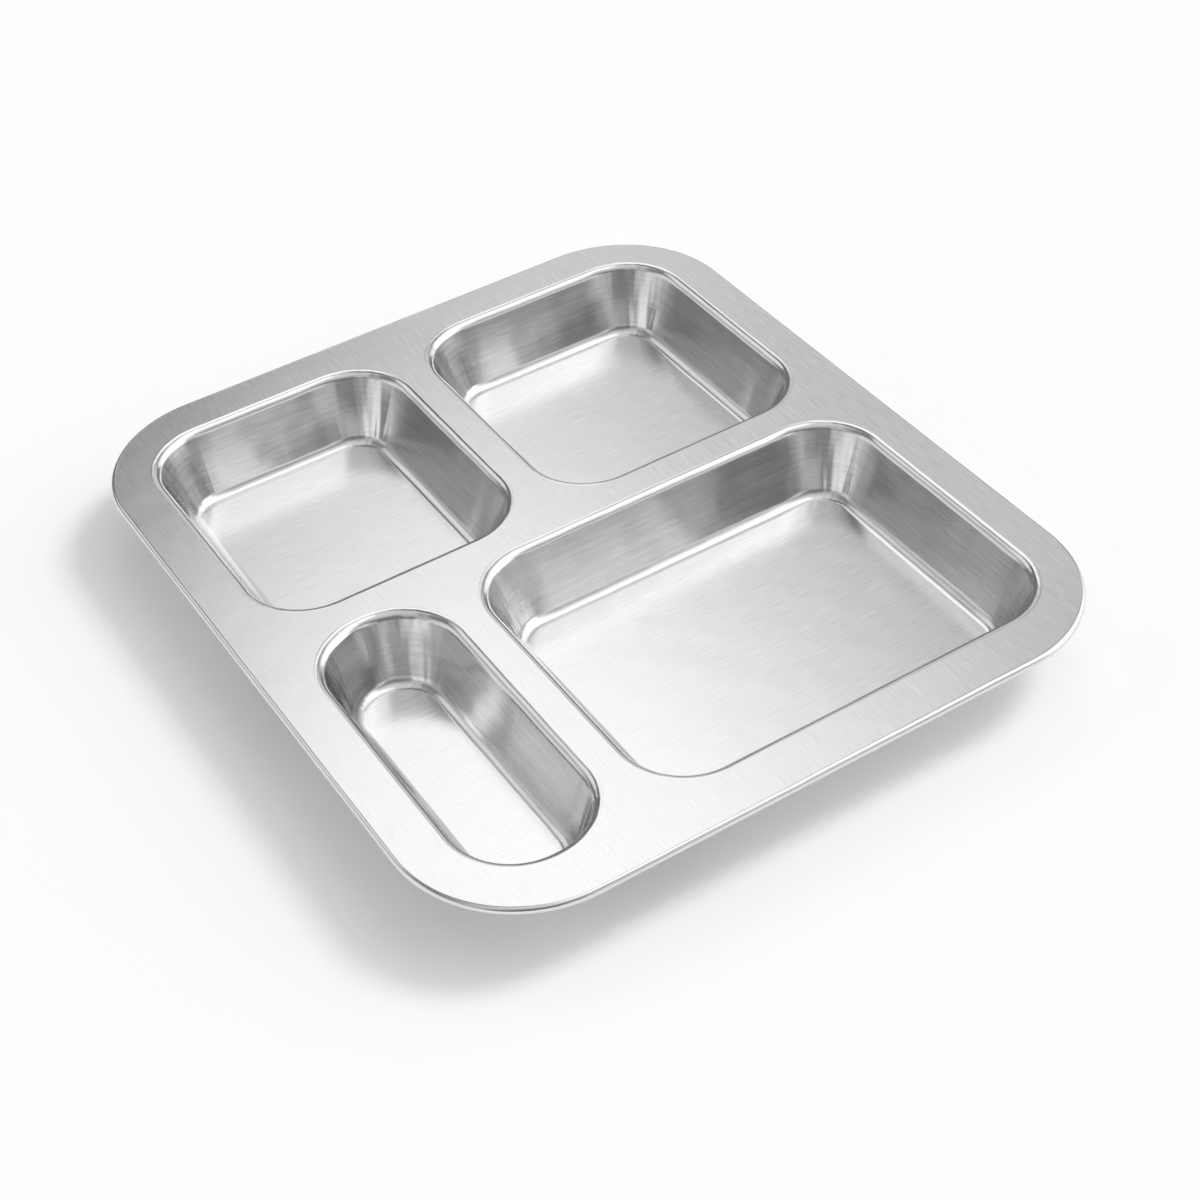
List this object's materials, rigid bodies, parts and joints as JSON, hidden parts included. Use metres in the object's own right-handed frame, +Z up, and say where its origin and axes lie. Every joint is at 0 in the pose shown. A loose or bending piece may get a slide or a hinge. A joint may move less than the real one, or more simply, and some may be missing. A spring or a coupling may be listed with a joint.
{
  "type": "compartment tray",
  "caption": "Flat rounded steel serving tray pressed from one sheet, with separate deep wells for dishes, a long slot and a rolled outer edge.",
  "frame": {"origin": "under the middle of the tray's outline, on the plane that the floors of the wells stand on", "axes": "+Z up out of the wells, +Y along the length towards the two back wells, +X to the right, away from the slot"},
  "size_m": [0.24, 0.2736, 0.0246],
  "materials": {
    "brushed_stainless": "fine brushed, bright on the bends",
    "drawn_wire": "drawn wire, dull"
  },
  "bodies": {
    "root": {"tray_pressing": "brushed_stainless", "rim_wire": "drawn_wire"}
  },
  "joints": []
}
